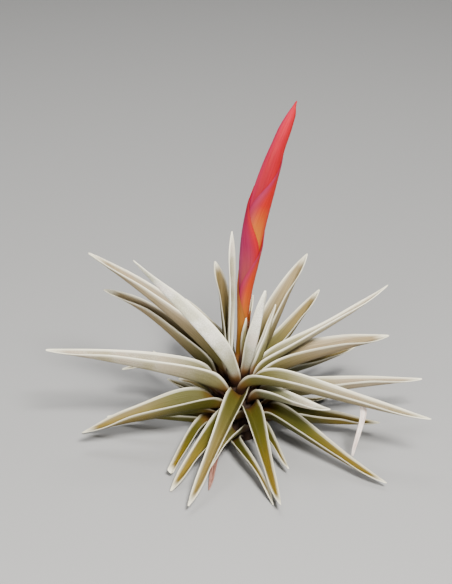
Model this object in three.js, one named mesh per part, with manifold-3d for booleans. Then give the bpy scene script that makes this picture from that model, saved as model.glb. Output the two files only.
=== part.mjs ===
// Air plant in flower, Tillandsia espinosae: a rosette of channelled leaves on a short stem, and one
// flat red flower spike of two-ranked bracts. Millimetres, +Z up, -Y is the front. It stands on the foot
// of its stem and on the tips of its lowest leaves, all at height 0.
import * as THREE from "three";
import { mergeVertices } from "three/addons/utils/BufferGeometryUtils.js";
import Module from "manifold-3d";

const wasm = await Module();
wasm.setup();

// Stem: a short cone that the sheaths of the leaves are wrapped round
const STEM_HEIGHT = 28.5;
const STEM_FOOT_RADIUS = 8;
const STEM_TOP_RADIUS = 2.6;

// Gap between neighbours that touch in the living plant
const GAP = 0.35;

// Leaves: they leave the stem one above another in a spiral
const LOWEST_LEVEL = 3;
const LEVEL_STEP = 0.58;
const LOWEST_WRAP = 28;
const INNERMOST_WRAP = 15;
const SHEATH_SPREAD = 0.38;
const BLADE_FOLD = 54;
const MIDRIB_THICKNESS = 0.85;
const EDGE_THICKNESS = 0.62;
const TIP_WIDTH = 1;
const LEAF_STATIONS = [0.002, 0.06, 0.13, 0.22, 0.33, 0.45, 0.58, 0.71, 0.83, 0.93, 0.998];

// One row a leaf, from the lowest to the innermost, azimuths in degrees from +X towards +Y: the azimuth
// of its base and the angle it rises at, the azimuth, reach and height of its tip, the width of its blade
// laid flat, how far the tip droops below the line from base to tip, and where the blade is broken off
// if it is.
const LEAVES = [
  [257, 5, 283, 56, 0.4, 10, 23],
  [178, 0, 171, 53, 2, 13, 6],
  [60, 0, 36, 46, 1, 14.5, -8],
  [274, 18, 255, 44, 7.5, 12, 26],
  [119, 0, 122, 46, 3, 16.5, 5],
  [360, 0, 350, 56, 9.6, 23, -8],
  [198, 4, 236, 53, 1, 12.5, 0, 0.84],
  [77, 27, 72, 58, 0.4, 14.5, 10],
  [313, 1, 299, 39, 3.5, 10, 3],
  [157, 0, 142, 36, 12, 13, -1],
  [27, 32, 24, 48, 8, 13.5, 9],
  [263, 40, 241, 52, 0.6, 18, 9],
  [113, 35, 102, 60, 0.4, 16, 11],
  [325, 14, 322, 70, 2.6, 18.5, -6],
  [201, 5, 182, 61.5, 0.6, 14, 6],
  [63, 43, 51, 60, 11, 14, -8],
  [293, 57, 284, 62, 4, 16, -8],
  [155, 35, 132, 52, 16, 12, -8],
  [-8, 16, 8, 74, 18, 20.5, 1],
  [228, 21, 193, 62, 7.4, 26.5, 4],
  [88, 50, 82, 62, 14, 15.5, 7],
  [326, 48, 318, 46, 27, 17, -8],
  [177, 38, 158, 50, 18, 13.5, 26],
  [28, 27, 38, 63, 19, 17, -8],
  [288, 76, 253, 63, 3.6, 20, -5],
  [114, 61, 112, 60, 26, 25, 7],
  [-21, 63, 19, 64, 32, 31.5, 6],
  [225, 42, 189, 74, 42, 25, 5],
  [283, 75, 338, 78, 22, 20.5, -1],
  [39, 19, 47, 48.5, 45.6, 22.5, -8],
  [110, 46, 122, 40, 42, 23, 1],
  [345, 70, 15, 60.7, 56.7, 13.5, -6],
  [170, 25, 163, 55, 54.6, 22.5, 17],
  [44, 26, 40, 35.6, 67, 29.5, 1],
  [260, 61, 214, 46, 85.6, 18.5, 2],
  [128, 51, 112, 24, 64, 22, 24],
  [-11, 46, 15, 15, 54, 11.5, -8],
  [201, 61, 177, 57, 75.8, 21.5, 8],
  [155, 85, 104, 10, 82, 14, -2],
  [301, 51, 306, 17, 68, 18.5, -8],
];

// Small leaves on the scape, with rows like the leaves
const SCAPE_LEAF_LEVEL = 31.5;
const SCAPE_LEAF_ROOT = 2.95;
const SCAPE_LEAVES = [
  [298, 78, 296, 6.8, 53, 8, -5],
  [56, 77, 54, 9.8, 56, 8, 0],
];

// Dead leaf: lies on the ground in front, with a row like the leaves
const DEAD_LEAF_LEVEL = 1.3;
const DEAD_LEAF = [237, 0, 256, 46, 0.7, 8, -3];

// Withered tip: a strip that hangs down from under one of the large leaves
const WITHERED_TIP = [
  [46.6, -19, 22.9],
  [47.7, -19.8, 20.6],
  [47.4, -21.4, 18.2],
  [45.6, -24.6, 13],
  [43.9, -27.4, 8.4],
];
const WITHERED_WIDTHS = [1.4, 2.4, 2.2, 1.7, 1];

// Spike: the scape and the bracts lie round one leaning axis, each inside the one below it. Half of its
// width and half of its depth go with the height.
const SPIKE_FOOT = STEM_HEIGHT + GAP;
const SCAPE_RADIUS = 2.15;
const FIRST_BRACT_TIP = 70;
const BRACT_STEP = 16.75;
const BRACT_COUNT = 5;
const BRACT_LENGTH = 1.85;
const BRACT_WALL = 0.62;
const BRACT_GAP = 0.54;
const CUP_FOOT = 34.8;
const BRACT_STATIONS = [0, 0.15, 0.3, 0.44, 0.57, 0.69, 0.8, 0.9, 1];
const SPIKE_HALF_WIDTH = [
  [27, 2.3],
  [36, 2.5],
  [45, 2.4],
  [54, 2.5],
  [63, 3],
  [72, 3.85],
  [84, 4.45],
  [98, 4.4],
  [105, 4.1],
  [114, 3.4],
  [122, 2.75],
  [130, 2.2],
  [134, 1.4],
  [137, 0.4],
];
const SPIKE_HALF_DEPTH = [
  [27, 2.3],
  [36, 2.5],
  [50, 2.4],
  [70, 2.75],
  [95, 2.75],
  [108, 2.5],
  [120, 2.1],
  [130, 1.3],
  [137, 0.4],
];

const radians = THREE.MathUtils.degToRad;
const smoothstep = THREE.MathUtils.smoothstep;

function stemRadius(z) {
  return THREE.MathUtils.lerp(STEM_FOOT_RADIUS, STEM_TOP_RADIUS, z / STEM_HEIGHT);
}

// A closed solid from rings of points. A ring runs along one face and back along the other, half its
// points each.
function solidOfRings(rings) {
  const size = rings[0].length;
  const half = size / 2;
  const index = [];
  for (let i = 0; i + 1 < rings.length; i++) {
    for (let j = 0; j < size; j++) {
      const a = i * size + j;
      const b = i * size + ((j + 1) % size);
      // Both faces of a blade are split along the same diagonal.
      if (j < half) index.push(a, b, b + size, a, b + size, a + size);
      else index.push(a, b, a + size, b, b + size, a + size);
    }
  }
  const end = (rings.length - 1) * size;
  for (let j = 0; j + 1 < half; j++) {
    const k = size - 1 - j;
    index.push(j, k, k - 1, j, k - 1, j + 1);
    index.push(end + j, end + k - 1, end + k, end + j, end + j + 1, end + k - 1);
  }
  const geometry = new THREE.BufferGeometry();
  const positions = rings.flat().flatMap((p) => p.toArray());
  geometry.setAttribute("position", new THREE.Float32BufferAttribute(positions, 3));
  geometry.setIndex(index);
  return geometry;
}

// A leaf is a folded blade along a midrib. Its sheath lies round the stem's axis, its blade is folded
// into a channel.
class Leaf {
  constructor([azimuth, rise, tipAzimuth, reach, tipHeight, width, droop, end = 1], level, root, wrap) {
    this.width = width;
    this.end = end;
    this.wrap = radians(wrap);
    this.root = root;
    const out = new THREE.Vector3(1, 0, 0).applyAxisAngle(new THREE.Vector3(0, 0, 1), radians(azimuth));
    const start = out.clone().multiplyScalar(root + GAP + EDGE_THICKNESS / 2).setZ(level);
    const tip = new THREE.Vector3(reach, 0, tipHeight);
    tip.applyAxisAngle(new THREE.Vector3(0, 0, 1), radians(tipAzimuth));
    const chord = tip.clone().sub(start);
    const fall = Math.atan2(chord.z, Math.hypot(chord.x, chord.y)) - radians(droop);
    const arrive = chord.clone().setZ(0).normalize().multiplyScalar(Math.cos(fall)).setZ(Math.sin(fall));
    const leave = out.multiplyScalar(Math.cos(radians(rise))).setZ(Math.sin(radians(rise)));
    const bend = start.clone().addScaledVector(leave, 3 + 0.17 * chord.length());
    const shoulder = tip.clone().addScaledVector(arrive, -0.42 * chord.length());
    this.midrib = new THREE.CubicBezierCurve3(start, bend, shoulder, tip);
  }

  // A point of the middle surface, u from the stem to the tip and v from edge to edge.
  at(u, v) {
    const p = this.midrib.getPoint(u);
    const t = this.midrib.getTangent(u);
    const radius = Math.hypot(p.x, p.y);
    const outward = (p.x * t.x + p.y * t.y) / radius;
    const steep = Math.hypot(outward, t.z);
    const sheath = radius * this.wrap + (radius - this.root) * SHEATH_SPREAD;
    const blade = (this.width / 2) * (1 - u ** 1.2) ** 0.85;
    const narrower = (blade ** -4 + sheath ** -4) ** -0.25;
    const half = Math.max(narrower, TIP_WIDTH / 2);
    const fold = radians(BLADE_FOLD) * smoothstep(u, 0.02, 0.25) * (1 - 0.7 * smoothstep(u, 0.72, 1));
    const lift = half * Math.sin(fold) * Math.abs(v) ** 1.5;
    const azimuth = Math.atan2(p.y, p.x) - (v * half * Math.cos(fold)) / radius;
    const r = radius - (lift * t.z) / steep;
    const z = p.z + (lift * outward) / steep;
    return new THREE.Vector3(r * Math.cos(azimuth), r * Math.sin(azimuth), z);
  }

  normal(u, v) {
    const along = this.at(u + 1e-3, v).sub(this.at(u - 1e-3, v));
    const across = this.at(u, v + 1e-3).sub(this.at(u, v - 1e-3));
    return across.cross(along).normalize();
  }

  geometry() {
    const rings = LEAF_STATIONS.map((station) => {
      const u = station * this.end;
      const face = (side) =>
        [-1, -0.5, 0, 0.5, 1].map((v) => {
          const thin = Math.max(v * v, u, 1 - u / 0.2);
          const thickness = THREE.MathUtils.lerp(MIDRIB_THICKNESS, EDGE_THICKNESS, thin);
          return this.at(u, v).addScaledVector(this.normal(u, v), (side * thickness) / 2);
        });
      return [...face(1), ...face(-1).reverse()];
    });
    return solidOfRings(rings);
  }
}

function valueAt(table, z) {
  const next = Math.max(1, table.findIndex(([height]) => height >= z));
  const [[z0, a], [z1, b]] = [table[next - 1], table[next]];
  return THREE.MathUtils.lerp(a, b, THREE.MathUtils.clamp((z - z0) / (z1 - z0), 0, 1));
}

// The spike leans more the higher it gets.
function spikeAxis(z) {
  return new THREE.Vector3(1.5 * smoothstep(z, 25, 48) + 1.56e-4 * Math.max(z - 27, 0) ** 2.5, 0, z);
}

// A bract of the spike: a pointed scale that is a tube at its foot and opens towards its tip, where only
// its keel is left. The scape's top is the member of order -1.
class Bract {
  constructor(order) {
    this.order = order;
    this.last = order === BRACT_COUNT - 1;
    this.side = order % 2 === 0 ? -1 : 1;
    this.tip = FIRST_BRACT_TIP + BRACT_STEP * order;
    this.foot = Math.max(this.tip - BRACT_LENGTH * BRACT_STEP, CUP_FOOT);
  }

  // How far the outer face lies inside the outline of the spike.
  inset(z) {
    if (this.order < 0) return 0;
    const covers = Math.max(0, this.order - (z - FIRST_BRACT_TIP) / BRACT_STEP);
    const nested = (BRACT_WALL + BRACT_GAP) * covers;
    if (!this.last) return nested;
    return nested * (1 - smoothstep(z, this.tip - BRACT_STEP, this.tip - 0.6 * BRACT_STEP));
  }

  // How far its two wings reach round the spike from its keel, in degrees. The last bract stays folded
  // to its tip.
  opening(station) {
    if (this.last) return THREE.MathUtils.lerp(160, 90, smoothstep(station, 0.75, 1));
    return THREE.MathUtils.lerp(160, 14, smoothstep(station, 0.44, 1.04));
  }

  at(z, angle, depth) {
    const inset = this.inset(z) + depth;
    const widthHere = Math.max(valueAt(SPIKE_HALF_WIDTH, z) - inset, 0.1);
    const depthHere = Math.max(valueAt(SPIKE_HALF_DEPTH, z) - inset, 0.1);
    const across = widthHere * Math.cos(angle) * this.side;
    const out = depthHere * Math.sign(angle) * Math.abs(Math.sin(angle)) ** 1.2;
    const lean = spikeAxis(z + 0.1).sub(spikeAxis(z - 0.1)).normalize();
    return spikeAxis(z).add(new THREE.Vector3(across * lean.z, out, -across * lean.x));
  }

  geometry() {
    const rings = BRACT_STATIONS.map((station) => {
      const z = THREE.MathUtils.lerp(this.foot, this.tip, station);
      const opening = radians(this.opening(station));
      const wall = BRACT_WALL * (1 - 0.3 * smoothstep(station, 0.85, 1));
      const across = [-1, -0.75, -0.5, -0.25, 0, 0.25, 0.5, 0.75, 1];
      const face = (depth) => across.map((v) => this.at(z, v * opening, depth));
      const outer = face(0);
      const inner = face(wall).reverse();
      return this.side > 0 ? [...outer, ...inner] : [...outer.reverse(), ...inner.reverse()];
    });
    return solidOfRings(rings);
  }
}

// A strip of a given width at each of its points, which lies across the line of sight.
function stripGeometry(points, widths) {
  const rings = points.map((point, i) => {
    const centre = new THREE.Vector3(...point);
    const half = widths[i] / 2;
    const corner = (x, y) => {
      const y0 = (y * EDGE_THICKNESS) / 2 + x * 0.3;
      return centre.clone().add(new THREE.Vector3(x * half, y0, 0));
    };
    return [corner(-1, 1), corner(1, 1), corner(1, -1), corner(-1, -1)];
  });
  return solidOfRings(rings);
}

function joined(...geometries) {
  const solids = geometries.map((geometry) => {
    const vertProperties = Float32Array.from(geometry.getAttribute("position").array);
    const triVerts = Uint32Array.from(geometry.index.array);
    return new wasm.Manifold(new wasm.Mesh({ numProp: 3, vertProperties, triVerts }));
  });
  const mesh = solids.reduce((whole, solid) => whole.add(solid)).getMesh();
  const geometry = new THREE.BufferGeometry();
  geometry.setAttribute("position", new THREE.Float32BufferAttribute(mesh.vertProperties, mesh.numProp));
  geometry.setIndex(new THREE.BufferAttribute(mesh.triVerts, 1));
  return geometry;
}

function material(color, roughness) {
  return new THREE.MeshStandardMaterial({ color, roughness, metalness: 0 });
}

const group = new THREE.Group();

function add(name, geometry, surface) {
  const mesh = new THREE.Mesh(geometry, surface);
  mesh.name = name;
  group.add(mesh);
}

LEAVES.forEach((row, order) => {
  const name = "leaf_" + String(order + 1).padStart(2, "0");
  const level = LOWEST_LEVEL + LEVEL_STEP * order;
  const wrap = THREE.MathUtils.lerp(LOWEST_WRAP, INNERMOST_WRAP, order / (LEAVES.length - 1));
  add(name, new Leaf(row, level, stemRadius(level), wrap).geometry(), material(0xa6a78c, 0.65));
});

SCAPE_LEAVES.forEach((row, order) => {
  const leaf = new Leaf(row, SCAPE_LEAF_LEVEL, SCAPE_LEAF_ROOT, INNERMOST_WRAP);
  add("scape_leaf_" + (order + 1), leaf.geometry(), material(0xb9a78c, 0.65));
});

const deadLeaf = new Leaf(DEAD_LEAF, DEAD_LEAF_LEVEL, stemRadius(DEAD_LEAF_LEVEL), INNERMOST_WRAP);
add("dead_leaf", deadLeaf.geometry(), material(0x8a5a48, 0.8));
add("withered_tip", stripGeometry(WITHERED_TIP, WITHERED_WIDTHS), material(0xc9b3a4, 0.8));

const stem = new THREE.CylinderGeometry(STEM_TOP_RADIUS, STEM_FOOT_RADIUS, STEM_HEIGHT, 24);
stem.rotateX(Math.PI / 2);
stem.translate(0, 0, STEM_HEIGHT / 2);
stem.deleteAttribute("normal");
stem.deleteAttribute("uv");
add("stem", mergeVertices(stem), material(0x4c3522, 0.85));

// The scape is a rod that ends inside its own top scale, below the foot of the first bract.
const rodRings = [SPIKE_FOOT, CUP_FOOT + 0.7].map((z) =>
  Array.from({ length: 16 }, (_, i) => {
    const angle = (i * Math.PI) / 8;
    const x = SCAPE_RADIUS * Math.cos(angle);
    const y = SCAPE_RADIUS * Math.sin(angle);
    return spikeAxis(z).add(new THREE.Vector3(x, y, 0));
  }),
);
const cup = new Bract(-1).geometry();
add("scape", joined(solidOfRings(rodRings), cup), material(0x9a4a2c, 0.7));

for (let order = 0; order < BRACT_COUNT; order++) {
  add("bract_" + (order + 1), new Bract(order).geometry(), material(0xc2203a, 0.5));
}

export default group;
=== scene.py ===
"""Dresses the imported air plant: silvery leaves, a flat red spike of folded bracts, a brown stem.

Every piece of the frame but its stem is replaced by a finer one on the same line. Lengths are
millimetres in the frame's own axes and angles are degrees, unless said otherwise.
"""
import logging
import math
import random
from dataclasses import dataclass, field
from enum import Enum
from typing import NamedTuple, Sequence

import bpy
import numpy as np
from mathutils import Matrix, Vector


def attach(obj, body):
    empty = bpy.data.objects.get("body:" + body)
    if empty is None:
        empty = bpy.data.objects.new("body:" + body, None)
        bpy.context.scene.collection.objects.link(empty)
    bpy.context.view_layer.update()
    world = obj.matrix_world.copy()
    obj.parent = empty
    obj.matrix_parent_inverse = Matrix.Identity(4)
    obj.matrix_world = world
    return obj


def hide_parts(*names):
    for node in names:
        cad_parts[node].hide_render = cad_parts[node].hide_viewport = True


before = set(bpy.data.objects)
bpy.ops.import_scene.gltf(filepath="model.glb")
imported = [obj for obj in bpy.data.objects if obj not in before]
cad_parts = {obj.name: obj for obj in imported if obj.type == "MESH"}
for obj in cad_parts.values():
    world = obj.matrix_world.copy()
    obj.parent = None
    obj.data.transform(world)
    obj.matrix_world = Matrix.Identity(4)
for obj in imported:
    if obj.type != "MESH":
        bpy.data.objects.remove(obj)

LOG = logging.getLogger("air_plant")
MM = 0.001
BODY = "root"
SEED = 11
SCAPE_LEAF_SEED = 111
SMOOTH_ANGLE = 50.0
TINY = 1e-9

Colour = tuple[float, float, float, float]
Span = tuple[float, float]
Triple = tuple[float, float, float]
Inputs = dict[str | int, object]
Socket = bpy.types.NodeSocket
Array = np.ndarray
Node = bpy.types.Node
Tree = bpy.types.NodeTree
Object = bpy.types.Object
Material = bpy.types.Material


class LeafRow(NamedTuple):
    """One row of a leaf table. Warmth, silver and the end, below 1 if broken off, are shares."""

    base_azimuth: float
    rise: float
    tip_azimuth: float
    reach: float
    tip_height: float
    width: float
    droop: float
    warmth: float
    inner_silver: float
    outer_silver: float
    end: float = 1.0


LEAF_ROWS: tuple[tuple[float, ...], ...] = (
    (257, 5, 283, 56, 0.4, 10, 23, 0.2, 0.1, 0.5),
    (178, 0, 171, 53, 2, 13, 6, 0.3, 0.2, 0.6),
    (60, 0, 36, 46, 1, 14.5, -8, 0.3, 0.2, 0.6),
    (274, 18, 255, 44, 7.5, 12, 26, 0.5, 0.4, 0.8),
    (119, 0, 122, 46, 3, 16.5, 5, 0.3, 0.4, 0.8),
    (360, 0, 350, 56, 9.6, 23, -8, 0, 0, 0.5),
    (198, 4, 236, 53, 1, 12.5, 0, 0.1, 0, 0.6, 0.84),
    (77, 27, 72, 58, 0.4, 14.5, 10, 0.3, 0.2, 0.6),
    (313, 1, 299, 39, 3.5, 10, 3, 0, 0, 0.35),
    (157, 0, 142, 36, 12, 13, -1, 0.3, 0.2, 0.6),
    (27, 32, 24, 48, 8, 13.5, 9, 0.3, 0.2, 0.6),
    (263, 40, 241, 52, 0.6, 18, 9, 0.15, 0, 0.75),
    (113, 35, 102, 60, 0.4, 16, 11, 0.4, 0.2, 0.6),
    (325, 14, 322, 70, 2.6, 18.5, -6, 0.2, 0, 0.6),
    (201, 5, 182, 61.5, 0.6, 14, 6, 0.3, 0.2, 0.75),
    (63, 43, 51, 60, 11, 14, -8, 0.4, 0.2, 0.7),
    (293, 57, 284, 62, 4, 16, -8, 0.2, 0, 0.8),
    (155, 35, 132, 52, 16, 12, -8, 0.4, 0.3, 0.7),
    (-8, 16, 8, 74, 18, 20.5, 1, 0.7, 0.5, 0.9),
    (228, 21, 193, 62, 7.4, 26.5, 4, 0.35, 0.1, 1),
    (88, 50, 82, 62, 14, 15.5, 7, 0.4, 0.2, 0.7),
    (326, 48, 318, 46, 27, 17, -8, 0.2, 0.8, 0.95),
    (177, 38, 158, 50, 18, 13.5, 26, 0.4, 0.3, 0.75),
    (28, 27, 38, 63, 19, 17, -8, 0.3, 0.3, 1),
    (288, 76, 253, 63, 3.6, 17, -5, 0.4, 0.2, 1),
    (114, 61, 112, 60, 26, 25, 7, 0.5, 0.3, 0.8),
    (-21, 63, 19, 64, 32, 31.5, 6, 0.9, 0.3, 1),
    (225, 42, 189, 74, 42, 25, 5, 0.6, 0.65, 0.75),
    (283, 75, 338, 78, 22, 20.5, -1, 0.5, 0.45, 0.65),
    (39, 19, 47, 48.5, 45.6, 22.5, -8, 0.45, 0.2, 0.9),
    (110, 46, 122, 40, 42, 23, 1, 0.55, 0.2, 0.7),
    (345, 70, 15, 60.7, 56.7, 13.5, -6, 0.5, 0.55, 1),
    (170, 25, 163, 55, 54.6, 22.5, 17, 0.75, 0.3, 0.8),
    (44, 26, 40, 35.6, 67, 29.5, 1, 0.7, 0.3, 1),
    (260, 61, 214, 46, 85.6, 18.5, 2, 1, 1, 1),
    (128, 51, 112, 24, 64, 22, 24, 0.6, 0.1, 0.9),
    (-11, 46, 15, 15, 54, 11.5, -8, 0.35, 0.6, 0.95),
    (201, 61, 177, 57, 75.8, 21.5, 8, 0.8, 0.4, 0.75),
    (155, 85, 104, 10, 82, 14, -2, 0.8, 0.8, 1),
    (301, 51, 306, 17, 68, 18.5, -8, 0.9, 1, 1),
)
SCAPE_LEAF_ROWS: tuple[tuple[float, ...], ...] = (
    (298, 78, 296, 6.8, 53, 8, -5, 0.7, 0.6, 0.8),
    (56, 77, 54, 9.8, 56, 8, 0, 0.7, 0.6, 0.9),
)
DEAD_LEAF_ROW: tuple[float, ...] = (237, 0, 256, 46, 0.7, 8, -3, 1.0, 0.2, 0.2)
# Leaves whose sheath opens wider than the others' as it leaves the stem, and by how much.
FLARES: dict[str, float] = {"leaf_25": 0.2}
# Leaves that stay wide nearer to the tip, and the power that their outline has for it.
FULLNESS: dict[str, float] = {"leaf_35": 0.5, "leaf_38": 0.58, "leaf_33": 0.6}


def linear(red: int, green: int, blue: int) -> Colour:
    """A colour as shaders take it.

    Args:
        red: red as seen on a screen, 0 to 255.
        green: green, the same way.
        blue: blue, the same way.

    Returns:
        The colour with linear channels and full opacity.
    """
    channels = [c / 255 for c in (red, green, blue)]
    low = [c / 12.92 if c <= 0.04045 else ((c + 0.055) / 1.055) ** 2.4 for c in channels]
    return (low[0], low[1], low[2], 1.0)


def smoothstep(x: Array | float, low: float, high: float) -> Array | float:
    """A smooth rise, 0 up to low and 1 from high on."""
    t = np.clip((x - low) / (high - low), 0.0, 1.0)
    return t * t * (3 - 2 * t)


def unit(vectors: Array) -> Array:
    """Rows of vectors, each at length 1."""
    return vectors / np.maximum(np.linalg.norm(vectors, axis=-1, keepdims=True), TINY)


def heading(azimuth: float, rise: float = 0.0) -> Array:
    """The unit vector that points to an azimuth and rises by an angle, both in radians."""
    level = math.cos(rise)
    return np.array([level * math.cos(azimuth), level * math.sin(azimuth), math.sin(rise)])


class Face(Enum):
    """The two faces of a leaf."""

    INNER = "inner"
    OUTER = "outer"


class Side(Enum):
    """The side of the spike that a bract's keel is on."""

    LEFT = -1
    RIGHT = 1


class Bench:
    """The operators that every piece is made with, each on one object alone."""

    @staticmethod
    def clear() -> None:
        """Deselects everything, so that an operator acts on nothing but its own piece."""
        for obj in list(bpy.context.selected_objects):
            obj.select_set(False)
        bpy.context.view_layer.objects.active = None

    @classmethod
    def take(cls, obj: Object) -> None:
        """Makes this object the only one that operators act on."""
        cls.clear()
        obj.select_set(True)
        bpy.context.view_layer.objects.active = obj

    @classmethod
    def sheet(cls, name: str, along: int, across: int) -> Object:
        """A flat sheet with an even net of faces and its own UV map.

        Args:
            name: the piece's name.
            along: faces from end to end.
            across: faces from edge to edge.

        Returns:
            The sheet, along x from 0 to 1 and across y from -1 to 1.
        """
        cls.clear()
        bpy.ops.mesh.primitive_grid_add(x_subdivisions=along, y_subdivisions=across, size=2)
        piece = bpy.context.active_object
        piece.name = piece.data.name = name
        bpy.ops.object.mode_set(mode="EDIT")
        bpy.ops.mesh.select_all(action="SELECT")
        bpy.ops.transform.translate(value=(1, 0, 0))
        bpy.ops.transform.resize(value=(0.5, 1, 1), center_override=(0, 0, 0))
        bpy.ops.object.mode_set(mode="OBJECT")
        return piece

    @staticmethod
    def coordinates(piece: Object) -> Array:
        """The piece's points, one a row."""
        return np.array([tuple(vertex.co) for vertex in piece.data.vertices])

    @staticmethod
    def place(piece: Object, points: Array) -> None:
        """Moves the piece's points to these, given in millimetres."""
        piece.data.vertices.foreach_set("co", (points * MM).ravel())
        piece.data.update()

    @staticmethod
    def note(piece: Object, name: str, values: Array | float) -> None:
        """Writes an attribute that the piece's material reads."""
        layer = piece.data.attributes.new(name, "FLOAT", "POINT")
        layer.data.foreach_set("value", np.full(len(piece.data.vertices), values, dtype=float))

    @staticmethod
    def paint(piece: Object, *materials: Material) -> None:
        """Replaces the piece's materials by these, in order."""
        piece.data.materials.clear()
        for material in materials:
            piece.data.materials.append(material)

    @classmethod
    def thicken(cls, piece: Object, most: float, shares: Array, offset: float) -> None:
        """Gives a sheet its thickness, rounds it off and applies both.

        Args:
            piece: the sheet.
            most: its largest thickness.
            shares: each point's share of that.
            offset: 0 to grow both ways, -1 to grow inwards.
        """
        group = piece.vertex_groups.new(name="thickness")
        for index, share in enumerate(shares):
            group.add([index], float(share), "REPLACE")
        wall = piece.modifiers.new("wall", "SOLIDIFY")
        wall.thickness = most * MM
        wall.offset = offset
        wall.vertex_group = group.name
        wall.material_offset = wall.material_offset_rim = 1
        round_off = piece.modifiers.new("round_off", "SUBSURF")
        round_off.levels = round_off.render_levels = 1
        cls.take(piece)
        for modifier in (wall.name, round_off.name):
            bpy.ops.object.modifier_apply(modifier=modifier)
        piece.vertex_groups.clear()

    @classmethod
    def finish(cls, piece: Object, slot: str, nodes: Sequence[str]) -> None:
        """Smooths a piece's shading and ties it to the frame.

        Args:
            piece: the finished piece.
            slot: a material slot's name; not used.
            nodes: the frame's nodes that it replaces.
        """
        cls.take(piece)
        bpy.ops.object.shade_smooth_by_angle(angle=math.radians(SMOOTH_ANGLE))
        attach(piece, BODY)
        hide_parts(*nodes)
        LOG.info("%s: %d faces", piece.name, len(piece.data.polygons))


class Nodes:
    """Adds shader nodes to one tree and joins them."""

    def __init__(self, tree: Tree) -> None:
        """Starts on an empty tree."""
        self.tree = tree
        tree.nodes.clear()

    def add(self, kind: str, inputs: Inputs | None = None, **settings: object) -> Node:
        """Adds a node.

        Args:
            kind: the node's type name without the ShaderNode part.
            inputs: values or sockets for its inputs, by name or place.
            settings: its own properties.

        Returns:
            The node.
        """
        node = self.tree.nodes.new("ShaderNode" + kind)
        for key, value in settings.items():
            setattr(node, key, value)
        for key, value in (inputs or {}).items():
            self.feed(node.inputs[key], value)
        return node

    def feed(self, socket: Socket, value: object) -> None:
        """Gives a socket a value, or joins another node's output to it.

        Args:
            socket: the input socket.
            value: a value or another node's socket.
        """
        if isinstance(value, Socket):
            self.tree.links.new(value, socket)
        else:
            socket.default_value = value

    def calc(self, operation: str, *values: object, clamp: bool = False) -> Socket:
        """One step of arithmetic.

        Args:
            operation: Blender's name for it.
            values: values or sockets.
            clamp: whether the result stays between 0 and 1.

        Returns:
            The result.
        """
        node = self.add("Math", operation=operation, use_clamp=clamp)
        for socket, value in zip(node.inputs, values):
            self.feed(socket, value)
        return node.outputs[0]

    def plus(self, a: object, b: object) -> Socket:
        """A sum."""
        return self.calc("ADD", a, b)

    def times(self, a: object, b: object) -> Socket:
        """A product."""
        return self.calc("MULTIPLY", a, b)

    def ease(
        self, value: object, low: float, high: float, to_low: float = 0.0, to_high: float = 1.0
    ) -> Socket:
        """A smooth step of a value from one range to another.

        Args:
            value: the value.
            low: where the step starts.
            high: where it ends.
            to_low: the result at its start.
            to_high: the result at its end.

        Returns:
            The result.
        """
        inputs = {"Value": value, "From Min": low, "From Max": high}
        inputs |= {"To Min": to_low, "To Max": to_high}
        return self.add("MapRange", inputs, interpolation_type="SMOOTHSTEP").outputs["Result"]

    def mix(self, factor: object, a: object, b: object, blend: str = "MIX") -> Socket:
        """A mix of two colours.

        Args:
            factor: how much of the second there is.
            a: the first colour.
            b: the second colour.
            blend: the way of mixing.

        Returns:
            The colour.
        """
        node = self.add("Mix", data_type="RGBA", blend_type=blend)
        self.feed(node.inputs["Factor"], factor)
        self.feed(node.inputs[6], a)
        self.feed(node.inputs[7], b)
        return node.outputs[2]

    def ramp(self, value: object, stops: Sequence[tuple[float, Colour]]) -> Socket:
        """A colour that follows a value.

        Args:
            value: the value.
            stops: values and their colours.

        Returns:
            The colour.
        """
        node = self.add("ValToRGB", {"Fac": value})
        elements = node.color_ramp.elements
        while len(elements) < len(stops):
            elements.new(0.5)
        for element, (position, colour) in zip(elements, stops):
            element.position = position
            element.color = colour
        return node.outputs["Color"]


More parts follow.
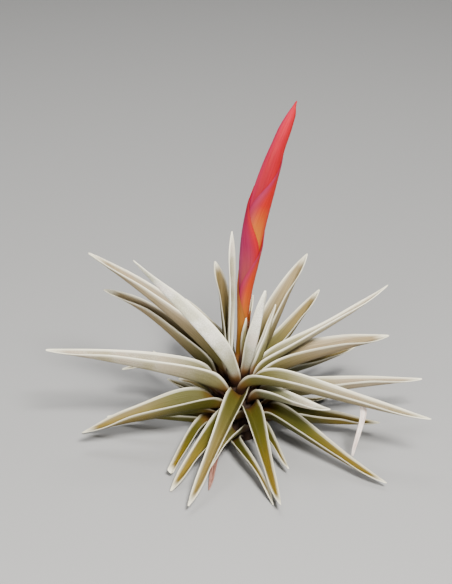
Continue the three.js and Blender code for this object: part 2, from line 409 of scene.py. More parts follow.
@dataclass
class SurfaceGroups:
    """Shader groups that several finishes share."""

    rib_waver: float = 2.2
    contrast: Span = (0.3, 0.7)
    fleck_contrast: Span = (0.35, 0.65)
    patches_a_metre: float = 75.0
    fleck_share: float = 0.45
    ribs: Tree = field(init=False)
    scales: Tree = field(init=False)

    def __post_init__(self) -> None:
        """Builds each group once."""
        self.ribs = self._ribs()
        self.scales = self._scales()

    @staticmethod
    def _start(name: str, amount: str, outputs: Sequence[str]) -> tuple[Nodes, Node, Node]:
        """Opens a group that takes a vector and an amount and gives plain values.

        Args:
            name: the group's name.
            amount: the amount's name.
            outputs: the values' names.

        Returns:
            The group's nodes, its input node and its output node.
        """
        tree = bpy.data.node_groups.new(name, "ShaderNodeTree")
        sockets = [("Vector", "INPUT", "Vector"), (amount, "INPUT", "Float")]
        sockets += [(key, "OUTPUT", "Float") for key in outputs]
        for key, side, kind in sockets:
            tree.interface.new_socket(name=key, in_out=side, socket_type="NodeSocket" + kind)
        nodes = Nodes(tree)
        return nodes, tree.nodes.new("NodeGroupInput"), tree.nodes.new("NodeGroupOutput")

    def _ribs(self) -> Tree:
        """Fine ribs that run from base to tip, read from the UV map.

        Returns:
            The group.
        """
        nodes, given, made = self._start("fine_ribs", "Count", ["Ribs"])
        parts = nodes.add("SeparateXYZ", {0: given.outputs["Vector"]})
        across = nodes.times(parts.outputs["Y"], given.outputs["Count"])
        along = nodes.times(parts.outputs["X"], self.rib_waver)
        place = nodes.add("CombineXYZ", {"X": along, "Y": across}).outputs[0]
        noise = {"Vector": place, "Scale": 1.0, "Detail": 3.0, "Roughness": 0.6}
        ribs = nodes.add("TexNoise", noise).outputs["Fac"]
        nodes.feed(made.inputs["Ribs"], nodes.ease(ribs, *self.contrast))
        return nodes.tree

    def _scales(self) -> Tree:
        """The silver scales that cover leaves: fine flecks, thinner in soft patches.

        Returns:
            The group.
        """
        nodes, given, made = self._start("silver_scales", "Fleck", ["Cover", "Fleck", "Patch"])
        place = given.outputs["Vector"]
        flecks = {"Vector": place, "Scale": given.outputs["Fleck"], "Detail": 2.0}
        patches = {"Vector": place, "Scale": self.patches_a_metre, "Detail": 2.0}
        fine = nodes.ease(nodes.add("TexNoise", flecks).outputs["Fac"], *self.fleck_contrast)
        broad = nodes.ease(nodes.add("TexNoise", patches).outputs["Fac"], *self.contrast)
        share = self.fleck_share
        cover = nodes.plus(nodes.times(fine, share), nodes.times(broad, 1 - share))
        for key, value in (("Cover", cover), ("Fleck", fine), ("Patch", broad)):
            nodes.feed(made.inputs[key], value)
        return nodes.tree


class Finish:
    """A material with one Principled shader. Shaders measure in metres."""

    def __init__(self, name: str, groups: SurfaceGroups) -> None:
        """Makes the material and the nodes that every finish starts from.

        Args:
            name: the material's name.
            groups: the shared shader groups.
        """
        self.groups = groups
        self.material = bpy.data.materials.new(name)
        self.material.use_nodes = True
        self.nodes = n = Nodes(self.material.node_tree)
        self.shader = n.add("BsdfPrincipled")
        n.add("OutputMaterial", {"Surface": self.shader.outputs["BSDF"]})
        self.uv = n.add("UVMap", uv_map="UVMap").outputs["UV"]
        parts = n.add("SeparateXYZ", {0: self.uv}).outputs
        self.along = parts["X"]
        self.from_rib = n.calc("ABSOLUTE", n.calc("MULTIPLY_ADD", parts["Y"], 2.0, -1.0))

    def reads(self, name: str) -> Socket:
        """One of the piece's own attributes."""
        settings = {"attribute_type": "GEOMETRY", "attribute_name": name}
        return self.nodes.add("Attribute", **settings).outputs["Fac"]

    def place(self) -> Socket:
        """The place on the piece."""
        return self.nodes.add("TexCoord").outputs["Object"]

    def ribs(self, count: float) -> Socket:
        """Fine ribs, about so many across the sheet."""
        inputs = {"Vector": self.uv, "Count": count}
        return self.nodes.add("Group", inputs, node_tree=self.groups.ribs).outputs["Ribs"]

    def scales(self, fleck: float) -> Node:
        """Silver scales with so many flecks a metre."""
        inputs = {"Vector": self.place(), "Fleck": fleck}
        return self.nodes.add("Group", inputs, node_tree=self.groups.scales)

    def emboss(self, height: Socket, distance: float, strength: float) -> None:
        """Relief too fine for the mesh."""
        bump = {"Height": height, "Distance": distance, "Strength": strength}
        self.nodes.feed(self.shader.inputs["Normal"], self.nodes.add("Bump", bump).outputs[0])

    def surface(
        self, colour: object, roughness: float, sheen: float = 0.0, specular: float = 0.3
    ) -> None:
        """Sets the shader's colour and its constants.

        Args:
            colour: a colour or a socket.
            roughness: how rough it is.
            sheen: how much fuzz it has.
            specular: how much it reflects.
        """
        self.nodes.feed(self.shader.inputs["Base Color"], colour)
        self.shader.inputs["Roughness"].default_value = roughness
        self.shader.inputs["Sheen Weight"].default_value = sheen
        self.shader.inputs["Sheen Roughness"].default_value = 0.5
        self.shader.inputs["Specular IOR Level"].default_value = specular


@dataclass(frozen=True)
class LeafColours:
    """Colours of a living leaf: its scales, its tissue, its foot, and the painted shade that
    darkens its fold and, over the sheath's own brown, the heart of the rosette.
    """

    silver: Colour = linear(244, 243, 232)
    blush: Colour = linear(226, 204, 192)
    sage: Colour = linear(206, 214, 176)
    lime: Colour = linear(196, 192, 122)
    margin: Colour = linear(238, 233, 208)
    grey: Colour = linear(134, 132, 108)
    mauve: Colour = linear(150, 124, 118)
    green: Colour = linear(56, 64, 0)
    olive: Colour = linear(108, 86, 14)
    tan: Colour = linear(132, 114, 80)
    young: Colour = linear(62, 58, 8)
    sheath: Colour = linear(76, 50, 14)
    # Near-black maroon: the sheath's own brown deepened by painted shade of the crown hollow.
    heart: Colour = linear(38, 18, 8)
    streak: Colour = linear(170, 160, 140)
    # Painted shade for the crease of the folded leaf, multiplied over its tissue along the midrib.
    channel: Colour = linear(120, 110, 90)


class LeafFinish(Finish):
    """What both faces of a living leaf share. Its bands are millimetres from the stem."""

    FACE: Face
    RIBS: float
    FLECKS: float
    ROUGHNESS: float
    SHEEN: float
    SPECULAR: float
    RELIEF: float
    OLIVE_BAND: Span
    BROWN_BAND = (4.5, 11.0)
    # Band of the maroon heart, which is partly painted shade of the crown hollow.
    MAROON_BAND = (2.0, 7.0)

    def __init__(self, groups: SurfaceGroups, colours: LeafColours) -> None:
        """Makes the ribs and the scales, then the whole face.

        Args:
            groups: the shared shader groups.
            colours: the leaf's colours.
        """
        super().__init__("leaf_" + self.FACE.value, groups)
        self.colours = colours
        self.rib = self.ribs(self.RIBS)
        scales = self.scales(self.FLECKS).outputs
        self.cover, self.patch = scales["Cover"], scales["Patch"]
        self.silver = self.reads(self.FACE.value + "_silver")
        self.from_stem = self.reads("from_stem")
        self.surface(self.colour(), self.ROUGHNESS, self.SHEEN, self.SPECULAR)
        n = self.nodes
        height = n.plus(n.times(self.rib, 0.7), n.times(scales["Fleck"], 0.3))
        self.emboss(height, self.RELIEF, 0.5)

    def colour(self) -> Socket:
        """The face's colour, which each face makes in its own way."""
        raise NotImplementedError

    def silvered(self) -> Socket:
        """The colour of dense silver scales, from sage to blush in soft patches.

        Returns:
            The colour.
        """
        c, n = self.colours, self.nodes
        body = n.mix(n.ease(self.patch, 0.45, 1.0, 0.0, 0.6), c.silver, c.blush)
        return n.mix(n.ease(self.patch, 0.0, 0.5, 0.5, 0.0), body, c.sage)

    def foot(self, body: Socket, cover: Socket) -> Socket:
        """Darkens the leaf towards the heart of the rosette, through olive and brown to maroon:
        olive and brown are the sheath's own colours, and the near-black maroon adds painted shade
        of the crown hollow to them.

        Args:
            body: the leaf's colour.
            cover: how much its silver hides the olive.

        Returns:
            The colour.
        """
        c, n, far = self.colours, self.nodes, self.from_stem
        olive = n.ease(far, *self.OLIVE_BAND, 1.0, 0.0)
        body = n.mix(n.times(olive, n.calc("SUBTRACT", 1.0, cover)), body, c.young)
        body = n.mix(n.ease(far, *self.BROWN_BAND, 1.0, 0.0), body, c.sheath)
        # The maroon at the heart is partly painted shade of the crown hollow.
        return n.mix(n.ease(far, *self.MAROON_BAND, 1.0, 0.0), body, c.heart)


class InnerFace(LeafFinish):
    """Olive to golden between cream margins, under silver on the upper leaves."""

    FACE = Face.INNER
    RIBS, FLECKS, RELIEF = 34.0, 2600.0, 0.00022
    ROUGHNESS, SHEEN, SPECULAR = 0.6, 0.0, 0.2
    OLIVE_BAND = (8.0, 34.0)
    LIME_BAND = (10.0, 46.0)
    MARGIN_FROM_EDGE = (-0.1, 1.2)
    MARGIN_START = (3.0, 14.0)

    def colour(self) -> Socket:
        """Tissue, silver, foot and margin, one over another.

        Returns:
            The colour.
        """
        c, n = self.colours, self.nodes
        lime = n.ease(self.from_stem, *self.LIME_BAND, 1.0, 0.0)
        lime = n.times(lime, n.calc("SUBTRACT", 1.1, self.silver))
        silvered = n.mix(lime, self.silvered(), c.lime)
        body = n.mix(self.covered(), self.tissue(), silvered)
        body = self.foot(body, n.times(self.silver, 0.3))
        return n.mix(self.margin(), body, c.margin)

    def tissue(self) -> Socket:
        """Green to gold, tan on warm leaves, streaked by the ribs, and darker along the midrib as
        painted shade in the fold.

        Returns:
            The colour without scales.
        """
        c, n = self.colours, self.nodes
        gold = n.ease(self.along, 0.25, 0.8, -0.1, 0.8)
        gold = n.calc("ADD", gold, n.times(n.calc("SUBTRACT", self.rib, 0.5), 0.3), clamp=True)
        body = n.mix(gold, c.green, c.olive)
        body = n.mix(n.ease(self.reads("warmth"), 0.2, 0.9), body, c.tan)
        streak = n.mix(1.0, body, c.streak, "MULTIPLY")
        body = n.mix(n.ease(self.rib, 0.1, 1.0, 0.0, 0.6), body, streak)
        # Painted shade: the tissue is multiplied darker near the midrib, where the fold is deepest.
        dark = n.mix(1.0, body, c.channel, "MULTIPLY")
        return n.mix(n.ease(self.from_rib, 0.0, 0.3, 0.35, 0.0), body, dark)

    def covered(self) -> Socket:
        """How much silver hides the tissue, more near the edges.

        Returns:
            The share.
        """
        n = self.nodes
        dense = n.times(n.calc("POWER", self.silver, 2.5), 0.85)
        dense = n.times(n.ease(self.cover, 0.1, 0.9, 0.5, 1.0), dense)
        fringe = n.calc("MULTIPLY_ADD", self.silver, 0.36, 0.02)
        return n.calc("MAXIMUM", dense, n.times(n.ease(self.from_rib, 0.35, 1.0), fringe))

    def margin(self) -> Socket:
        """The pale margin, of one width from end to end and frayed by the ribs, and the tip.

        Returns:
            The share.
        """
        n = self.nodes
        edge = n.times(n.calc("SUBTRACT", 1.0, self.from_rib), self.reads("half_width"))
        edge = n.plus(edge, n.times(n.calc("SUBTRACT", self.rib, 0.5), 0.5))
        band = n.ease(edge, *self.MARGIN_FROM_EDGE, 1.0, 0.0)
        band = n.times(band, n.ease(self.from_stem, *self.MARGIN_START, 0.0, 0.9))
        band = n.times(band, n.calc("MULTIPLY_ADD", self.silver, 0.4, 0.6))
        return n.calc("MAXIMUM", band, n.ease(self.along, 0.9, 1.0, 0.0, 0.8))


class OuterFace(LeafFinish):
    """Silver scales over grey-green and mauve, brown where the sheath begins."""

    FACE = Face.OUTER
    RIBS, FLECKS, RELIEF = 30.0, 2200.0, 0.00025
    ROUGHNESS, SHEEN, SPECULAR = 0.62, 0.06, 0.3
    OLIVE_BAND = (8.0, 20.0)

    def colour(self) -> Socket:
        """Worn tissue, silver that is thinner on the ribs, and the foot, one over another.

        Returns:
            The colour.
        """
        c, n = self.colours, self.nodes
        worn = n.mix(self.cover, c.grey, c.mauve)
        worn = n.mix(n.ease(self.reads("warmth"), 0.1, 0.7), c.young, worn)
        share = n.calc("MULTIPLY_ADD", self.silver, 0.4, 0.5)
        cover = n.calc("MULTIPLY_ADD", self.cover, 0.14, share)
        cover = n.calc("SUBTRACT", cover, n.times(self.rib, 0.2))
        return self.foot(n.mix(cover, worn, self.silvered()), share)


@dataclass(frozen=True)
class Stem:
    """The short cone that the leaves grow from, as in the frame."""

    groups: SurfaceGroups
    height: float = 28.5
    foot_radius: float = 8.0
    top_radius: float = 2.6
    lowest_level: float = 3.0
    level_step: float = 0.58
    fibres_a_metre: Triple = (900.0, 900.0, 140.0)
    # The fibres' brown is darkened towards black: painted shade of the crown hollow over the stem's
    # own brown.
    dark: Colour = linear(22, 13, 8)
    light: Colour = linear(58, 38, 24)

    def radius(self, level: float) -> float:
        """The stem's radius at a height."""
        return self.foot_radius + (self.top_radius - self.foot_radius) * level / self.height

    def dress(self) -> None:
        """Gives the frame's own stem its finish: brown fibres darkened towards black as painted
        shade of the crown hollow.
        """
        finish = Finish("stem_fibre_and_shade", self.groups)
        n = finish.nodes
        stretched = n.add("Mapping", {"Vector": finish.place(), "Scale": self.fibres_a_metre})
        noise = {"Vector": stretched.outputs[0], "Scale": 1.0, "Detail": 3.0}
        fibre = n.add("TexNoise", noise).outputs["Fac"]
        finish.surface(n.ramp(fibre, [(0.3, self.dark), (0.7, self.light)]), 0.85)
        finish.emboss(fibre, 0.0005, 0.6)
        Bench.paint(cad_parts["stem"], finish.material)
        LOG.info("stem dressed")


@dataclass
class Leaf:
    """One leaf: a sheath that lies round the stem and a blade folded into a channel."""

    name: str
    row: LeafRow
    level: float
    root: float
    wrap: float
    rng: random.Random
    flare: float = 0.0
    fullness: float = 0.67
    gap: float = 0.66
    fold: float = 54.0
    spread: float = 0.38
    narrowing: float = 0.95
    sheath_blend: float = 4.0
    tip_width: float = 0.5
    midrib_thickness: float = 0.75
    edge_thickness: float = 0.32
    tip_thinning: float = 0.7
    tip_opening: float = 0.7
    lip_curve: float = 1.5
    sway: float = 0.28
    wave_count: int = 6
    wave_rates: Span = (7.0, 4.8)
    first: float = 0.002
    faces: tuple[int, int] = (48, 12)
    start_pull: float = 3.0
    start_share: float = 0.17
    tip_share: float = 0.42
    points: Array = field(init=False)
    waves: list[Span] = field(init=False)

    def __post_init__(self) -> None:
        """Works out the curve of the midrib and how its edges waver."""
        draw = self.rng.uniform
        self.waves = [(draw(0.5, 1.0), draw(0.0, 6.28)) for _ in range(self.wave_count)]
        azimuth, turn = math.radians(self.row.base_azimuth), math.radians(self.row.tip_azimuth)
        start = heading(azimuth) * (self.root + self.gap) + np.array([0, 0, self.level])
        tip = heading(turn) * self.row.reach + np.array([0, 0, self.row.tip_height])
        chord = tip - start
        length = float(np.linalg.norm(chord))
        climb = math.atan2(chord[2], math.hypot(chord[0], chord[1]))
        leave = heading(azimuth, math.radians(self.row.rise))
        arrive = heading(math.atan2(chord[1], chord[0]), climb - math.radians(self.row.droop))
        after = start + leave * (self.start_pull + self.start_share * length)
        self.points = np.array([start, after, tip - arrive * self.tip_share * length, tip])

    def midrib(self, u: Array) -> tuple[Array, Array]:
        """Points of the midrib and its directions there.

        Args:
            u: 0 at the stem to 1 at the tip.

        Returns:
            The points and the unit tangents.
        """
        a, b, c, d = self.points
        t = u[:, None]
        s = 1 - t
        point = s**3 * a + 3 * s * s * t * b + 3 * s * t * t * c + t**3 * d
        tangent = 3 * s * s * (b - a) + 6 * s * t * (c - b) + 3 * t * t * (d - c)
        return point, unit(tangent)

    def half_width(self, u: Array, radius: Array) -> Array:
        """Half the width of the leaf laid flat, sheath and blade.

        Args:
            u: 0 at the stem to 1 at the tip.
            radius: how far the midrib is from the stem's axis there.

        Returns:
            The half widths, the smaller of sheath and blade with a soft change between them.
        """
        spread = self.spread + self.flare
        sheath = radius * math.radians(self.wrap) + (radius - self.root) * spread
        taper = np.maximum(1 - u**self.narrowing, TINY) ** self.fullness
        blade = self.row.width / 2 * taper
        both = blade**-self.sheath_blend + sheath**-self.sheath_blend
        return np.maximum(both ** (-1 / self.sheath_blend), self.tip_width / 2)

    def waver(self, u: Array, v: Array) -> Array:
        """How far a grown leaf strays from the even form: each edge on its own, slowly.

        Args:
            u: 0 at the stem to 1 at the tip.
            v: -1 at one edge to 1 at the other.

        Returns:
            The rise or fall of each point.
        """
        total = np.zeros_like(u)
        for order, (size, start) in enumerate(self.waves):
            octave = order // 2
            side = np.clip(v if order % 2 else -v, 0, 1) ** self.lip_curve
            rate = self.wave_rates[0] + self.wave_rates[1] * octave
            total += size * side * np.sin(rate * u + start) / (1 + 0.6 * octave)
        return self.sway * total * smoothstep(u, 0.15, 0.4)

    def surface(self, u: Array, v: Array) -> Array:
        """Points of the middle surface.

        Args:
            u: 0 at the stem to 1 at the tip.
            v: -1 at one edge to 1 at the other.

        Returns:
            The points, one a row.
        """
        p, t = self.midrib(u)
        radius = np.hypot(p[:, 0], p[:, 1])
        outward = (p[:, 0] * t[:, 0] + p[:, 1] * t[:, 1]) / radius
        steep = np.hypot(outward, t[:, 2])
        half = self.half_width(u, radius)
        closed = 1 - self.tip_opening * smoothstep(u, 0.72, 1.0)
        fold = math.radians(self.fold) * smoothstep(u, 0.02, 0.25) * closed
        lift = half * np.sin(fold) * np.abs(v) ** self.lip_curve + self.waver(u, v)
        azimuth = np.arctan2(p[:, 1], p[:, 0]) - v * half * np.cos(fold) / radius
        r = radius - lift * t[:, 2] / steep
        z = p[:, 2] + lift * outward / steep
        return np.stack([r * np.cos(azimuth), r * np.sin(azimuth), z], axis=1)

    def build(self) -> Object:
        """Lays a sheet along the leaf and gives it its thickness.

        Returns:
            The leaf.
        """
        piece = Bench.sheet("dressed_" + self.name, *self.faces)
        flat = Bench.coordinates(piece)
        u = flat[:, 0] * self.row.end * (1 - self.first) + self.first
        v = -flat[:, 1]
        Bench.place(piece, self.surface(u, v))
        line = self.midrib(u)[0]
        order = np.argsort(u, kind="stable")
        steps = np.linalg.norm(np.diff(line[order], axis=0, prepend=line[order][:1]), axis=1)
        Bench.note(piece, "from_stem", np.cumsum(steps)[np.argsort(order, kind="stable")])
        radius = np.hypot(line[:, 0], line[:, 1])
        Bench.note(piece, "half_width", self.half_width(u, radius))
        for name in ("warmth", "inner_silver", "outer_silver"):
            Bench.note(piece, name, getattr(self.row, name))
        edge = self.edge_thickness / self.midrib_thickness
        shares = edge + (1 - edge) * (1 - v * v) * (1 - self.tip_thinning * u)
        Bench.thicken(piece, self.midrib_thickness, shares, 0.0)
        return piece


@dataclass
class Rosette:
    """All the leaves."""

    stem: Stem
    faces: Sequence[LeafFinish]
    lowest_wrap: float = 28.0
    innermost_wrap: float = 15.0
    scape_level: float = 31.5
    scape_radius: float = 2.95

    def leaves(self) -> list[Leaf]:
        """The leaves from the lowest to the innermost, then the two on the scape."""
        made = []
        last = len(LEAF_ROWS) - 1
        for order, row in enumerate(LEAF_ROWS):
            name = f"leaf_{order + 1:02d}"
            level = self.stem.lowest_level + self.stem.level_step * order
            wrap = self.lowest_wrap + (self.innermost_wrap - self.lowest_wrap) * order / last
            rng = random.Random(SEED + order)
            leaf = Leaf(name, LeafRow(*row), level, self.stem.radius(level), wrap, rng)
            leaf.flare = FLARES.get(name, leaf.flare)
            leaf.fullness = FULLNESS.get(name, leaf.fullness)
            made.append(leaf)
        for order, row in enumerate(SCAPE_LEAF_ROWS):
            name = f"scape_leaf_{order + 1}"
            rng = random.Random(SCAPE_LEAF_SEED + order)
            place = (self.scape_level, self.scape_radius, self.innermost_wrap)
            made.append(Leaf(name, LeafRow(*row), *place, rng))
        return made

    def build(self) -> None:
        """Builds and dresses every leaf."""
        for leaf in self.leaves():
            piece = leaf.build()
            Bench.paint(piece, *(face.material for face in self.faces))
            Bench.finish(piece, "leaf", [leaf.name])


@dataclass(frozen=True)
class SpikeOutline:
    """The leaning line of the spike and its outline, half width and half depth by height.

    The line is the frame's. The outline is about 0.4 mm fuller on each side, as the photo shows it.
    """

    heights: tuple[float, ...] = (27, 36, 45, 54, 63, 72, 84, 98, 105, 114, 122, 130, 134, 137)
    half_widths: tuple[float, ...] = (
        2.3, 2.5, 2.7, 2.9, 3.4, 4.25, 4.85, 4.8, 4.5, 3.75, 2.95, 2.05, 1.25, 0.4
    )
    depth_heights: tuple[float, ...] = (27, 36, 50, 70, 95, 108, 120, 130, 137)
    half_depths: tuple[float, ...] = (2.3, 2.5, 2.6, 3.0, 3.0, 2.75, 2.25, 1.35, 0.4)
    reading_offsets: tuple[float, ...] = (-3, -1.5, 0, 1.5, 3)

    def axis(self, z: Array) -> Array:
        """Points of the axis at these heights."""
        lean = 1.5 * smoothstep(z, 25, 48) + 1.56e-4 * np.maximum(z - 27, 0) ** 2.5
        return np.stack([lean, np.zeros_like(z), z], axis=1)

    def smooth(self, z: Array, heights: Sequence[float], values: Sequence[float]) -> Array:
        """The outline's value, eased over 3 mm to each side so that it has no corners."""
        readings = [np.interp(z + offset, heights, values) for offset in self.reading_offsets]
        return sum(readings) / len(readings)

    def halves(self, z: Array) -> tuple[Array, Array]:
        """Half the width and half the depth at these heights."""
        width = self.smooth(z, self.heights, self.half_widths)
        return width, self.smooth(z, self.depth_heights, self.half_depths)


@dataclass(frozen=True)
class BractColours:
    """Colours of one bract from its base to its tip, of its keel and of its edges."""

    base: Colour
    middle: Colour
    tip: Colour
    keel: Colour
    edge: Colour
    vein: Colour = linear(190, 170, 170)

    def material(self, name: str, groups: SurfaceGroups) -> Material:
        """A smooth, waxy finish with faint ribs.

        Args:
            name: the material's name.
            groups: the shared shader groups.

        Returns:
            The material.
        """
        finish = Finish(name, groups)
        n = finish.nodes
        ribs = finish.ribs(22.0)
        body = n.ramp(finish.along, [(0.15, self.base), (0.5, self.middle), (0.95, self.tip)])
        body = n.mix(n.ease(finish.from_rib, 0.0, 0.42, 1.0, 0.0), body, self.keel)
        body = n.mix(n.ease(finish.from_rib, 0.5, 0.95, 0.0, 0.9), body, self.edge)
        body = n.mix(n.times(ribs, 0.35), body, n.mix(1.0, body, self.vein, "MULTIPLY"))
        finish.surface(body, 0.48, specular=0.2)
        finish.emboss(ribs, 0.00018, 0.4)
        return finish.material


@dataclass
class Bract:
    """A folded scale of the spike: wrapped round it at its foot, only a keel at its tip.

    The lowest bract's order is 0 and the scape's own top scale's is -1. The length is in steps.
    """

    order: int
    side: Side
    outline: SpikeOutline
    colours: BractColours
    first_tip: float = 70.0
    step: float = 16.75
    length: float = 2.7
    lowest: float = 34.8
    closed: float = 165.0
    wall: float = 0.9
    sheet_share: float = 0.37
    thinner_share: float = 0.18
    keel_share: float = 0.56
    keel_span: Span = (0.4, 0.62)
    layer: float = 0.36
    tuck: float = 0.62
    thinnest: float = 0.15
    count: int = 5
    faces: tuple[int, int] = (44, 24)

    @property
    def tip(self) -> float:
        """The height of its tip."""
        return self.first_tip + self.step * self.order

    @property
    def topmost(self) -> bool:
        """Whether it is the last bract, which closes the spike."""
        return self.order == self.count - 1

    @property
    def node(self) -> str:
        """The frame's node that it replaces, alone or with the stalk."""
        return "scape" if self.order < 0 else f"bract_{self.order + 1}"

    def inset(self, z: Array) -> Array:
        """How far its face lies inside the outline of the spike.

        Args:
            z: heights.

        Returns:
            The depth at each, where the bracts outside it leave it room.
        """
        if self.order < 0:
            return np.zeros_like(z)
        nested = self.layer * np.maximum(0, self.order - (z - self.first_tip) / self.step)
        if self.topmost:
            return nested * (1 - smoothstep(z, self.tip - self.step, self.tip - 0.6 * self.step))
        return nested + self.tuck * smoothstep(z, self.tip - 0.45 * self.step, self.tip)

    def opening(self, z: Array) -> Array:
        """How far its edges reach round the spike from the keel.

        Args:
            z: heights.

        Returns:
            The angle at each, in radians.
        """
        narrow, over = (70.0, 0.3) if self.topmost else (8.0, 1.9)
        wrapped = smoothstep((self.tip - z) / self.step, 0, over)
        return np.radians(narrow + (self.closed - narrow) * wrapped)

    def surface(self, s: Array, v: Array) -> Array:
        """Points of the outer face.

        Args:
            s: 0 at the foot to 1 at the tip.
            v: -1 at one edge to 1 at the other, 0 on the keel.

        Returns:
            The points, one a row.
        """
        foot = max(self.tip - self.length * self.step, self.lowest)
        z = foot + (self.tip - foot) * s
        angle = v * self.opening(z)
        inset = self.inset(z)
        width, depth = (np.maximum(h - inset, self.thinnest) for h in self.outline.halves(z))
        across = width * np.cos(angle) * self.side.value
        out = depth * np.sign(angle) * np.abs(np.sin(angle)) ** 1.2
        lean = unit(self.outline.axis(z + 0.1) - self.outline.axis(z - 0.1))
        return self.outline.axis(z) + np.stack([across * lean[:, 2], out, -across * lean[:, 0]], 1)

    def build(self) -> Object:
        """Lays a sheet round the spike and gives it its wall.

        Returns:
            The bract.
        """
        name = self.node if self.order >= 0 else "scape_scale"
        piece = Bench.sheet("dressed_" + name, *self.faces)
        flat = Bench.coordinates(piece)
        s, v = flat[:, 0], flat[:, 1]
        Bench.place(piece, self.surface(s, -v if self.side is Side.RIGHT else v))
        thinner = self.thinner_share * np.maximum(v**4, smoothstep(s, 0.8, 1.0))
        shares = self.sheet_share - thinner
        if not self.topmost:
            shares += self.keel_share * (1 - np.abs(v)) ** 2 * smoothstep(s, *self.keel_span)
        Bench.thicken(piece, self.wall, shares, -1.0)
        return piece

    def dress(self, piece: Object, groups: SurfaceGroups) -> None:
        """Gives the bract its finish on both faces."""
        skin = self.colours.material(piece.name + "_skin", groups)
        Bench.paint(piece, skin, skin)


@dataclass
class Spike:
    """The scape and the bracts."""

    groups: SurfaceGroups
    outline: SpikeOutline = SpikeOutline()
    rod_foot: float = 28.85
    rod_top: float = 120.0
    rod_rings: int = 47
    rod_sides: int = 20
    rod_heights: tuple[float, ...] = (28, 34.8, 37, 60, 100, 120)
    rod_radii: tuple[float, ...] = (2.15, 1.9, 0.85, 0.55, 0.4, 0.2)
    rod_skin: Colour = linear(96, 60, 24)

    def bracts(self) -> list[Bract]:
        """The bracts from the lowest, the scape's own top scale first."""
        pink, red, bronze = (124, 22, 58), (146, 8, 12), (120, 70, 24)
        rows = (
            ((54, 36, 9), (104, 63, 16), (122, 59, 18), (94, 49, 11), bronze),
            ((110, 76, 23), (135, 83, 23), (132, 40, 40), (126, 81, 36), bronze),
            ((140, 83, 23), (150, 46, 7), (142, 14, 7), (157, 50, 14), pink),
            ((121, 50, 45), (116, 14, 52), (135, 10, 44), (130, 44, 82), red),
            ((158, 97, 22), (144, 16, 5), (142, 2, 13), (155, 23, 13), pink),
            ((126, 5, 25), (140, 2, 25), (164, 10, 38), (154, 30, 66), red),
        )
        made = []
        for order, row in enumerate(rows, -1):
            colours = BractColours(*(linear(*colour) for colour in row))
            side = Side.RIGHT if order % 2 else Side.LEFT
            made.append(Bract(order, side, self.outline, colours))
        return made

    def rod(self) -> None:
        """The stalk that carries the bracts, drawn up from a disc."""
        heights = np.linspace(self.rod_foot, self.rod_top, self.rod_rings)
        Bench.clear()
        bpy.ops.mesh.primitive_circle_add(vertices=self.rod_sides, radius=1, fill_type="NGON")
        rod = bpy.context.active_object
        rod.name = "dressed_stalk"
        bpy.ops.object.mode_set(mode="EDIT")
        for _ in heights[1:]:
            bpy.ops.mesh.extrude_region_move(TRANSFORM_OT_translate={"value": (0, 0, 1)})
        bpy.ops.mesh.select_all(action="SELECT")
        bpy.ops.mesh.normals_make_consistent(inside=False)
        bpy.ops.object.mode_set(mode="OBJECT")
        flat = Bench.coordinates(rod)
        z = heights[np.clip(np.rint(flat[:, 2]).astype(int), 0, len(heights) - 1)]
        slim = np.interp(z, self.rod_heights, self.rod_radii)
        round_axis = np.stack([flat[:, 0] * slim, flat[:, 1] * slim, np.zeros_like(z)], axis=1)
        Bench.place(rod, self.outline.axis(z) + round_axis)
        finish = Finish("stalk_skin", self.groups)
        finish.surface(self.rod_skin, 0.55)
        Bench.paint(rod, finish.material)
        Bench.finish(rod, "scape", ["scape"])

    def build(self) -> None:
        """Builds and dresses the stalk and every bract."""
        self.rod()
        for bract in self.bracts():
            piece = bract.build()
            bract.dress(piece, self.groups)
            Bench.finish(piece, "scape" if bract.order < 0 else "bract", [bract.node])


@dataclass(frozen=True)
class DryFinish:
    """Dry tissue, ribbed and blotched."""

    name: str
    light: Colour
    dark: Colour
    ribs: float = 14.0
    blotches: float = 300.0

    def material(self, groups: SurfaceGroups) -> Material:
        """Makes the material.

        Args:
            groups: the shared shader groups.

        Returns:
            The material.
        """
        finish = Finish(self.name, groups)
        n = finish.nodes
        ribs = finish.ribs(self.ribs)
        noise = {"Vector": finish.place(), "Scale": self.blotches, "Detail": 2.0}
        blotch = n.add("TexNoise", noise).outputs["Fac"]
        tone = n.plus(n.times(ribs, 0.5), n.times(blotch, 0.5))
        finish.surface(n.mix(n.ease(tone, 0.2, 0.75), self.dark, self.light), 0.75)
        finish.emboss(ribs, 0.0004, 0.6)
        return finish.material


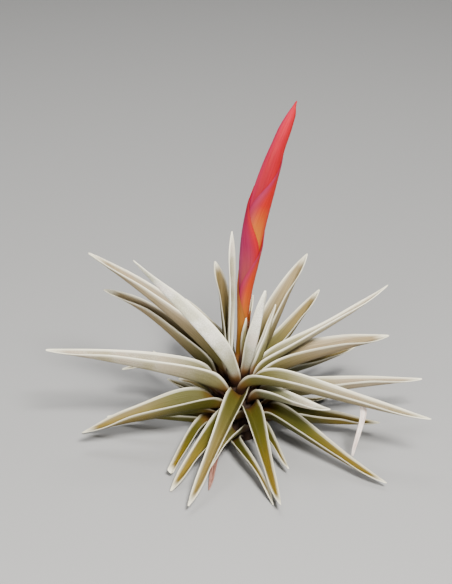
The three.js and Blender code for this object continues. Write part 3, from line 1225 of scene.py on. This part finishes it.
@dataclass
class DeadMatter:
    """The dry leaf on the ground and the withered strip under a large leaf."""

    stem: Stem
    groups: SurfaceGroups
    level: float = 1.3
    wrap: float = 15.0
    brown: DryFinish = DryFinish("dead_leaf_skin", linear(184, 140, 122), linear(116, 66, 54))
    pale: DryFinish = DryFinish("withered_skin", linear(232, 222, 212), linear(186, 158, 146))
    hang: tuple[Triple, ...] = (
        (46.6, -19, 22.9), (47.7, -19.8, 20.6), (47.4, -21.4, 18.2),
        (45.6, -24.6, 13), (43.9, -27.4, 8.4), (43.2, -28.5, 5.2),
    )
    widths: tuple[float, ...] = (1.4, 2.5, 2.4, 2.0, 1.5, 0.8)
    leaf_faces: tuple[int, int] = (40, 8)
    strip_faces: tuple[int, int] = (32, 6)
    strip_thickness: float = 0.35
    curl: float = 0.35
    turn: float = 0.2

    def leaf(self) -> None:
        """Builds and dresses the dry leaf."""
        place = (self.level, self.stem.radius(self.level), self.wrap)
        row = LeafRow(*DEAD_LEAF_ROW)
        leaf = Leaf("dead_leaf", row, *place, random.Random(SEED), faces=self.leaf_faces)
        piece = leaf.build()
        brown = self.brown.material(self.groups)
        Bench.paint(piece, brown, brown)
        Bench.finish(piece, "dry_leaf", ["dead_leaf"])

    def strip(self) -> None:
        """Builds and dresses the withered strip, which follows the points of hang."""
        strip = Bench.sheet("dressed_withered_tip", *self.strip_faces)
        flat = Bench.coordinates(strip)
        along, v = flat[:, 0], -flat[:, 1]
        stations = np.linspace(0, 1, len(self.hang))
        x, y, z = (
            sum(np.interp(along + offset, stations, values) for offset in (-0.06, 0, 0.06)) / 3
            for values in zip(*self.hang)
        )
        half = np.interp(along, stations, self.widths) / 2
        y = y + v * half * self.turn + self.curl * half * v * v
        Bench.place(strip, np.stack([x + v * half, y, z], axis=1))
        Bench.thicken(strip, self.strip_thickness, np.ones(len(v)), 0.0)
        pale = self.pale.material(self.groups)
        Bench.paint(strip, pale, pale)
        Bench.finish(strip, "dry_leaf", ["withered_tip"])

    def build(self) -> None:
        """Builds both pieces."""
        self.leaf()
        self.strip()


@dataclass(frozen=True)
class Lamp:
    """A soft square light that faces the plant, in metres."""

    name: str
    place: Triple
    size: float
    watts: float
    tint: Triple
    aim: Triple = (0, 0, 0.05)

    def hang(self) -> None:
        """Puts the light up."""
        lamp = bpy.data.lights.new(self.name, "AREA")
        lamp.size = self.size
        lamp.energy = self.watts
        lamp.color = self.tint
        obj = bpy.data.objects.new(self.name, lamp)
        obj.location = self.place
        towards = Vector(self.aim) - Vector(self.place)
        obj.rotation_euler = towards.to_track_quat("-Z", "Y").to_euler()
        bpy.context.scene.collection.objects.link(obj)


@dataclass(frozen=True)
class Studio:
    """A pale floor, soft light and the camera, in metres."""

    camera_place: Triple = (-0.00468, -0.57493, 0.32910)
    camera_tilt: float = 65.0
    lens: float = 102.74
    floor_size: float = 6.0
    floor_colour: Colour = (0.27, 0.268, 0.262, 1)
    sky_colour: Colour = (0.9, 0.93, 1.0, 1)
    sky_strength: float = 0.12
    lamps: tuple[Lamp, ...] = (
        Lamp("key", (0.2, -0.66, 0.78), 0.22, 33.0, (1.0, 0.985, 0.96)),
        Lamp("fill", (-0.35, -0.9, 0.28), 0.5, 10.0, (1.0, 0.99, 0.98)),
        Lamp("top", (-0.1, 0.4, 0.9), 0.4, 6.0, (1.0, 1.0, 1.0)),
    )

    def floor(self) -> None:
        """A plain pale floor."""
        Bench.clear()
        bpy.ops.mesh.primitive_plane_add(size=self.floor_size, location=(0, 0, 0))
        ground = bpy.context.active_object
        ground.name = "floor"
        material = bpy.data.materials.new("floor_paint")
        material.use_nodes = True
        shader = material.node_tree.nodes["Principled BSDF"]
        shader.inputs["Base Color"].default_value = self.floor_colour
        shader.inputs["Roughness"].default_value = 0.9
        ground.data.materials.append(material)

    def sky(self) -> None:
        """A faint even light from all round."""
        world = bpy.context.scene.world or bpy.data.worlds.new("sky")
        bpy.context.scene.world = world
        world.use_nodes = True
        background = world.node_tree.nodes["Background"]
        background.inputs["Color"].default_value = self.sky_colour
        background.inputs["Strength"].default_value = self.sky_strength

    def camera(self) -> None:
        """The camera, where the photo was taken from."""
        data = bpy.data.cameras.new("camera")
        data.lens = self.lens
        camera = bpy.data.objects.new("camera", data)
        camera.location = self.camera_place
        camera.rotation_euler = (math.radians(self.camera_tilt), 0, 0)
        bpy.context.scene.collection.objects.link(camera)
        bpy.context.scene.camera = camera

    def build(self) -> None:
        """Sets up the floor, the lights, the sky and the camera."""
        self.floor()
        for lamp in self.lamps:
            lamp.hang()
        self.sky()
        self.camera()


def main() -> None:
    """Builds every sub-assembly in order."""
    logging.basicConfig(level=logging.INFO, format="%(name)s: %(message)s")
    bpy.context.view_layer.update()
    groups = SurfaceGroups()
    stem = Stem(groups)
    stem.dress()
    Rosette(stem, [kind(groups, LeafColours()) for kind in (InnerFace, OuterFace)]).build()
    Spike(groups).build()
    DeadMatter(stem, groups).build()
    Studio().build()


if __name__ == "__main__":
    main()
